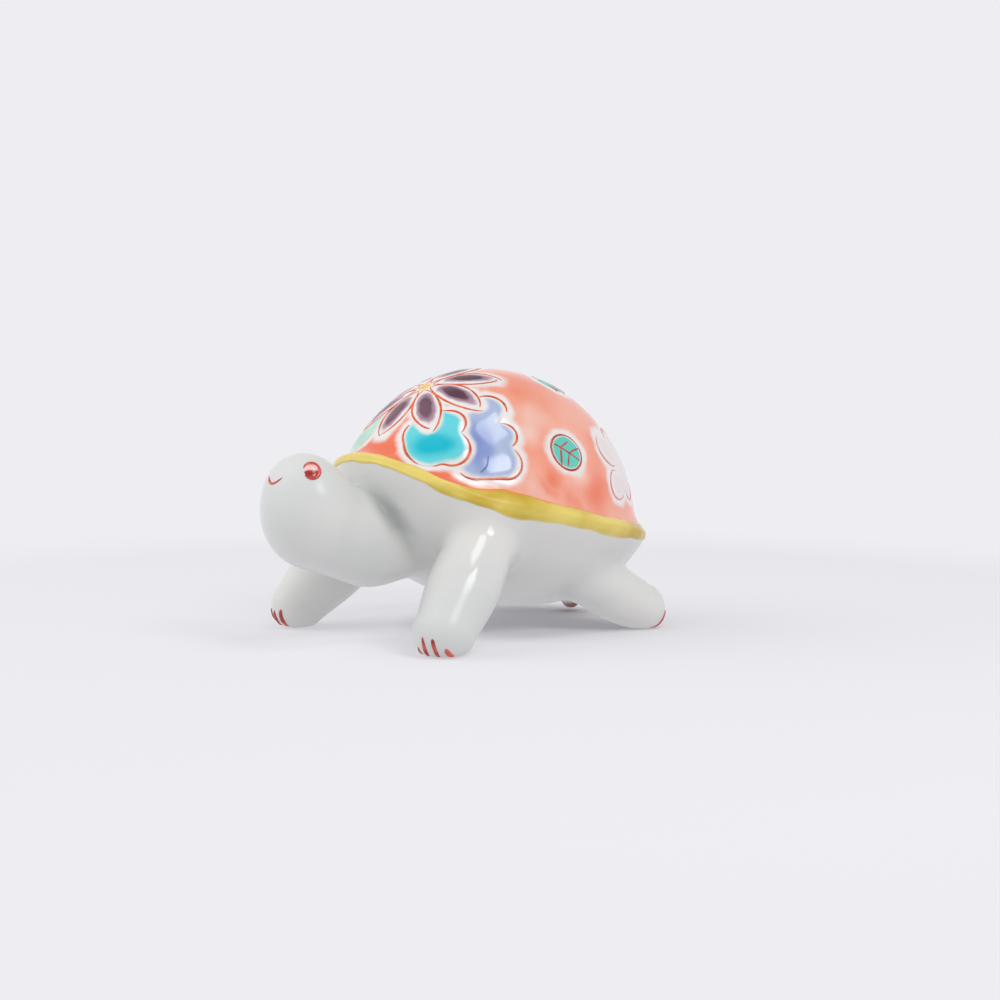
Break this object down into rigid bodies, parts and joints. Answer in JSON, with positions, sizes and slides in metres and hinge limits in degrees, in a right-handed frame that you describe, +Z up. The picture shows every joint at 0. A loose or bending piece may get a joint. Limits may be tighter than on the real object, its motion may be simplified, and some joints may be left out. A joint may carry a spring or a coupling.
{
  "type": "turtle figurine",
  "caption": "Small glazed porcelain turtle ornament with a domed, flower-painted carapace, a raised head and splayed legs, standing on flat soles.",
  "frame": {"origin": "centre of the figure's outline, on the surface that its soles stand on", "axes": "+Z up, head towards -Y, the turtle's left side towards +X"},
  "size_m": [0.0642, 0.0948, 0.0571],
  "materials": {
    "glazed_porcelain": "glossy glaze",
    "coral_glaze": "glossy glaze, coral wash",
    "fired_slip": "fired slip under glaze",
    "yellow_enamel": "glossy enamel",
    "purple_enamel": "glossy enamel",
    "turquoise_enamel": "glossy enamel",
    "lavender_enamel": "glossy enamel",
    "pale_enamel": "glossy enamel",
    "green_enamel": "glossy enamel",
    "leaf_enamel": "glossy enamel",
    "iron_red_paint": "glossy enamel"
  },
  "bodies": {
    "root": {"belly": "glazed_porcelain", "head_and_neck": "glazed_porcelain", "front_left_leg": "glazed_porcelain", "front_right_leg": "glazed_porcelain", "rear_left_leg": "glazed_porcelain", "rear_right_leg": "glazed_porcelain", "tail": "glazed_porcelain", "carapace": "coral_glaze", "rim_slip_joint": "fired_slip", "neck_slip_joint": "fired_slip", "leg_slip_joints": "fired_slip", "tail_slip_joint": "fired_slip", "rim_band": "yellow_enamel", "chrysanthemum_heart": "yellow_enamel", "chrysanthemum_petals": "purple_enamel", "turquoise_blossom": "turquoise_enamel", "lavender_blossom": "lavender_enamel", "right_lavender_blossom": "lavender_enamel", "pale_blossom": "pale_enamel", "right_pale_blossom": "pale_enamel", "green_blossom": "green_enamel", "left_leaf_roundel": "leaf_enamel", "right_leaf_roundel": "leaf_enamel", "top_leaf_roundel": "leaf_enamel", "left_eye": "iron_red_paint", "right_eye": "iron_red_paint", "mouth_line": "iron_red_paint", "front_left_claws": "iron_red_paint", "front_right_claws": "iron_red_paint", "rear_left_claws": "iron_red_paint", "rear_right_claws": "iron_red_paint"}
  },
  "joints": []
}
